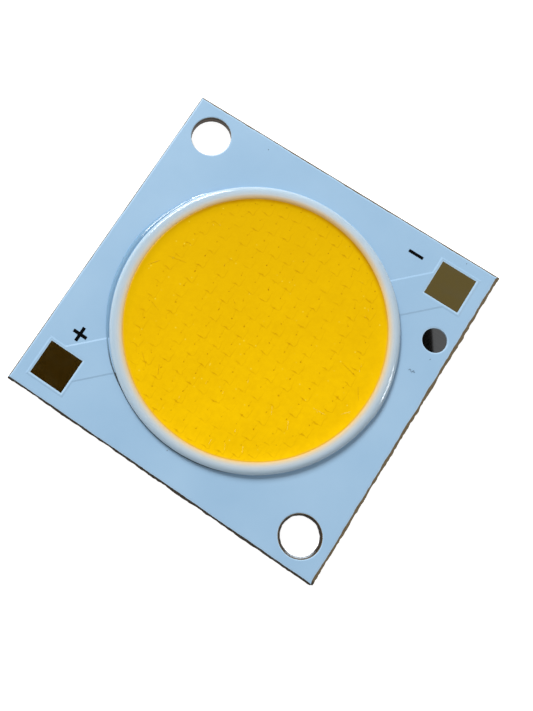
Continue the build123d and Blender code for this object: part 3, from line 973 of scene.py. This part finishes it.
floor_half = 0.6
floor_level = -0.02 * MM
corners = square_points(0, 0, floor_half)
floor, mesh = add_piece("floor", [(x, y, floor_level) for x, y in corners], [], [(0, 1, 2, 3)])
white_floor = bpy.data.materials.new("white_floor")
white_floor.use_nodes = True
white_floor.node_tree.nodes.clear()
add = partial(add_node, white_floor.node_tree)
rays = add("ShaderNodeLightPath")
seen = add(
    "ShaderNodeMath", {0: rays.outputs["Is Camera Ray"], 1: rays.outputs["Is Glossy Ray"]},
    operation="MAXIMUM")
seen = add("ShaderNodeMath", {0: seen, 1: rays.outputs["Is Transmission Ray"]}, operation="MAXIMUM")
glow = add("ShaderNodeMath", {0: seen, 1: 0.85}, operation="MULTIPLY")
end_material(add, {
    "Base Color": linear("#F4F4F4"), "Roughness": 0.9, "Specular IOR Level": 0.0,
    "Emission Color": (1.0, 1.0, 1.0, 1.0), "Emission Strength": glow})
mesh.materials.append(white_floor)

world = bpy.data.worlds.new("room")
bpy.context.scene.world = world
world.use_nodes = True
world.node_tree.nodes.clear()
add = partial(add_node, world.node_tree)
rays = add("ShaderNodeLightPath")
direction = add("ShaderNodeTexCoord").outputs["Generated"]
direction = add("ShaderNodeSeparateXYZ", {0: direction})
overhead = add(
    "ShaderNodeMapRange", {0: direction.outputs[2], 1: 0.55, 2: 0.93, 3: 0.60, 4: 0.14},
    interpolation_type="SMOOTHSTEP")
level = add("ShaderNodeMix", {0: rays.outputs["Is Camera Ray"], 2: overhead, 3: 1.0})
light = add("ShaderNodeBackground", {"Color": (1.0, 1.0, 1.0, 1.0), "Strength": level})
add("ShaderNodeOutputWorld", {"Surface": light})

# The photograph's right and up directions over the plate, for placing the lamps and the card.
photo_right = Vector((up_y, -up_x, 0.0))
photo_up = Vector((up_x, up_y, 0.0))


def add_lamp(name, direction, elevation, distance, width, height, level):
    """A soft lamp aimed at the module, whose light gives a flat surface facing up that share of white."""
    data = bpy.data.lights.new(name, "AREA")
    data.shape = "RECTANGLE"
    data.size = width
    data.size_y = height
    lamp = bpy.data.objects.new(name, data)
    bpy.context.scene.collection.objects.link(lamp)
    aim = (direction.normalized() * math.cos(elevation) + Vector((0, 0, math.sin(elevation))))
    lamp.location = aim * distance
    lamp.rotation_euler = aim.to_track_quat("Z", "Y").to_euler()
    data.energy = level * math.pi * math.pi * distance ** 2 / math.sin(elevation)
    return lamp


add_lamp(
    "soft_lamp", photo_up - 0.35 * photo_right, math.radians(36), distance=0.8, width=0.36, height=0.26,
    level=0.555)
add_lamp(
    "low_lamp", photo_up - 0.2 * photo_right, math.radians(26), distance=0.4, width=0.06, height=0.03,
    level=0.06)
# The side lamp stands for a narrow window, which only shows as a streak on the bead.
side_lamp = add_lamp(
    "side_lamp", photo_right - 0.22 * photo_up, math.radians(38), distance=0.35, width=0.07, height=0.10,
    level=0.22)
side_lamp.visible_diffuse = False

card_level = 90 * MM
card_left, card_right = -45 * MM, 34.8 * MM
card_low, card_high = -60 * MM, 15.5 * MM
card_corners = [
    (card_left, card_low), (card_right, card_low), (card_right, card_high), (card_left, card_high)]
card_points = [photo_right * u + photo_up * v + Vector((0, 0, card_level)) for u, v in card_corners]
dark_card, mesh = add_piece("dark_card", card_points, [], [(0, 1, 2, 3)])
card_paper, add, place = start_material("dark_card_paper")
across = add("ShaderNodeVectorMath", {0: place, 1: tuple(photo_right)}, operation="DOT_PRODUCT")
across = add("ShaderNodeMapRange", {0: across.outputs["Value"], 1: 5 * MM, 2: 25 * MM})
colour = add("ShaderNodeMix", {0: across, 6: linear("#382D11"), 7: linear("#141210")}, data_type="RGBA")
end_material(add, {"Base Color": colour, "Roughness": 1.0, "Specular IOR Level": 0.0})
mesh.materials.append(card_paper)
# Only glossy rays find the card.
for ray in ("camera", "diffuse", "shadow", "transmission"):
    setattr(dark_card, f"visible_{ray}", False)

# The camera stands where the plate's four corners fall on the photograph's. The photograph is cut
# from a wider view, so its lens axis lies off the middle, at axis_x and axis_y in pixels.
camera_data = bpy.data.cameras.new("camera")
picture_width, picture_height = 533, 711
focal_pixels = 1000
axis_x, axis_y = 159.95, 245.05
camera_data.sensor_width = 36.0
camera_data.lens = focal_pixels * camera_data.sensor_width / picture_height
camera_data.shift_x = (picture_width / 2 - axis_x) / picture_height
camera_data.shift_y = (axis_y - picture_height / 2) / picture_height
camera_data.clip_start = 0.001
camera = bpy.data.objects.new("camera", camera_data)
bpy.context.scene.collection.objects.link(camera)
right = Vector((0.830125, 0.556246, -0.038502))
down = Vector((0.53391, -0.812897, -0.232679))
forward = Vector((-0.160725, 0.172596, -0.971791))
turn = Matrix((right, -down, -forward)).transposed().to_4x4()
camera_place = Vector((3.1263, -12.5343, 79.6963)) * MM
camera.matrix_world = Matrix.Translation(camera_place) @ turn
bpy.context.scene.camera = camera
bpy.context.scene.view_settings.view_transform = "Standard"
